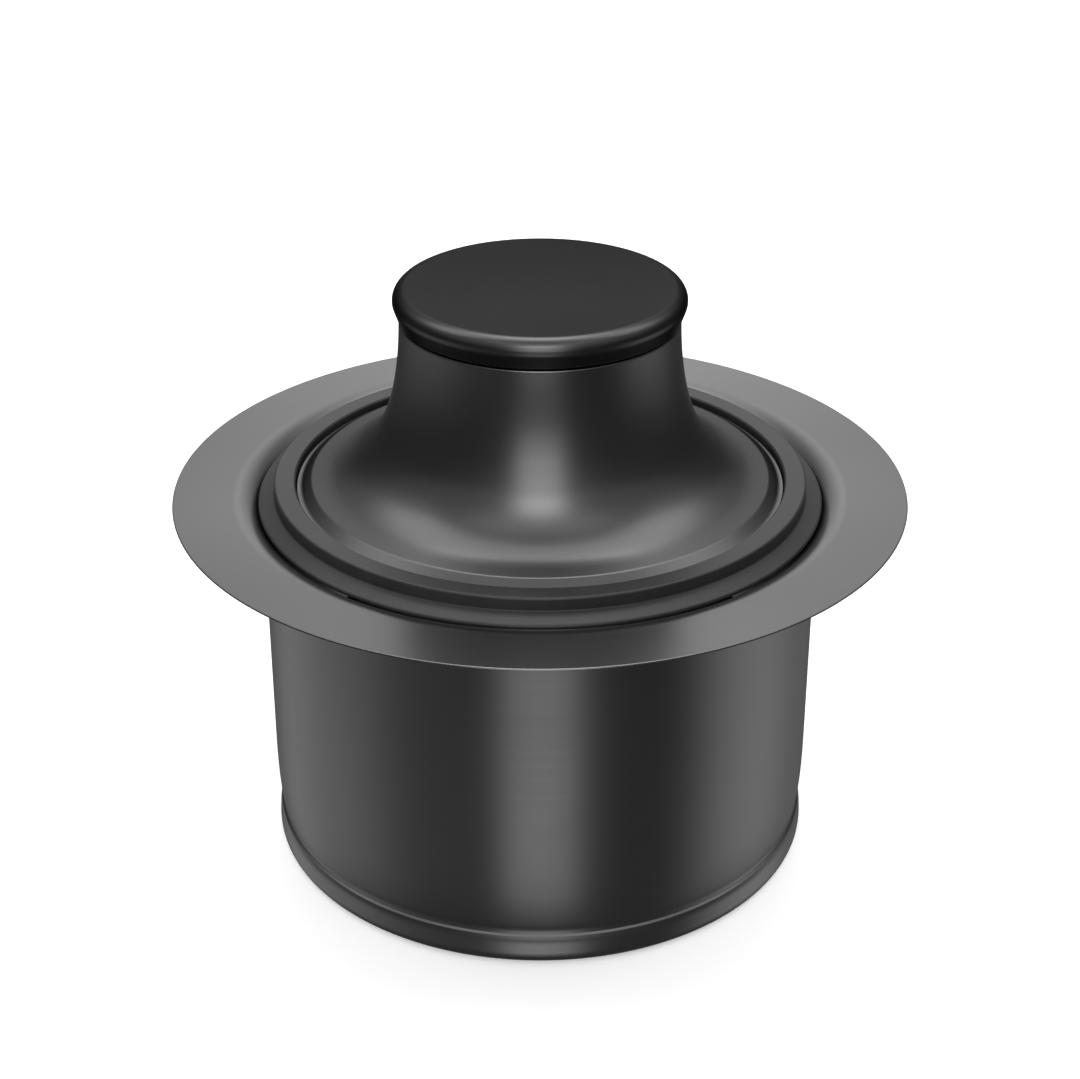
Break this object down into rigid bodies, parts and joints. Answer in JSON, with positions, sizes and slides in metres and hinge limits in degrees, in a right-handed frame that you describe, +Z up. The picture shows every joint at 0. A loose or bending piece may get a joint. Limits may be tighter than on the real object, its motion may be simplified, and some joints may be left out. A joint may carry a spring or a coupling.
{
  "type": "sink flange with stopper",
  "caption": "Round kitchen sink flange with a wide thin rim and a deep throat for a food waste disposer, with a drop-in stopper that has a mushroom knob and a rubber seal.",
  "frame": {"origin": "centre of the flange's bottom edge, at the height of the face that meets the disposer's gasket", "axes": "+Z up along the drain's centre line, from the disposer end to the sink; the part is turned about Z, so X and Y are free"},
  "size_m": [0.1142, 0.1142, 0.0934],
  "materials": {
    "black_steel": "satin black coating on stainless steel",
    "cap_black_steel": "satin black coating on stainless steel",
    "shell_black_steel": "satin black coating on stainless steel",
    "black_rubber": "smooth moulded",
    "black_nylon": "moulded",
    "insert_brass": "turned",
    "washer_rubber": "matte",
    "plate_steel": "rolled sheet",
    "guide_nylon": "moulded",
    "washer_steel": "stamped",
    "spring_steel": "coiled wire",
    "bright_steel": "rolled thread"
  },
  "bodies": {
    "flange": {"sink_flange": "black_steel"},
    "stopper": {"knob_cap": "cap_black_steel", "stopper_shell": "shell_black_steel", "seal_ring": "black_rubber", "knob_core": "black_nylon", "threaded_insert": "insert_brass", "sealing_washer": "washer_rubber", "retainer_plate": "plate_steel", "centering_guide": "guide_nylon", "flat_washer": "washer_steel", "lock_washer": "spring_steel", "clamp_screw": "bright_steel"}
  },
  "joints": [
    {"name": "stopper_lift", "type": "slide", "parent": "flange", "child": "stopper", "axis": [0, 0, 1], "range_m": [0, 0.035]}
  ]
}
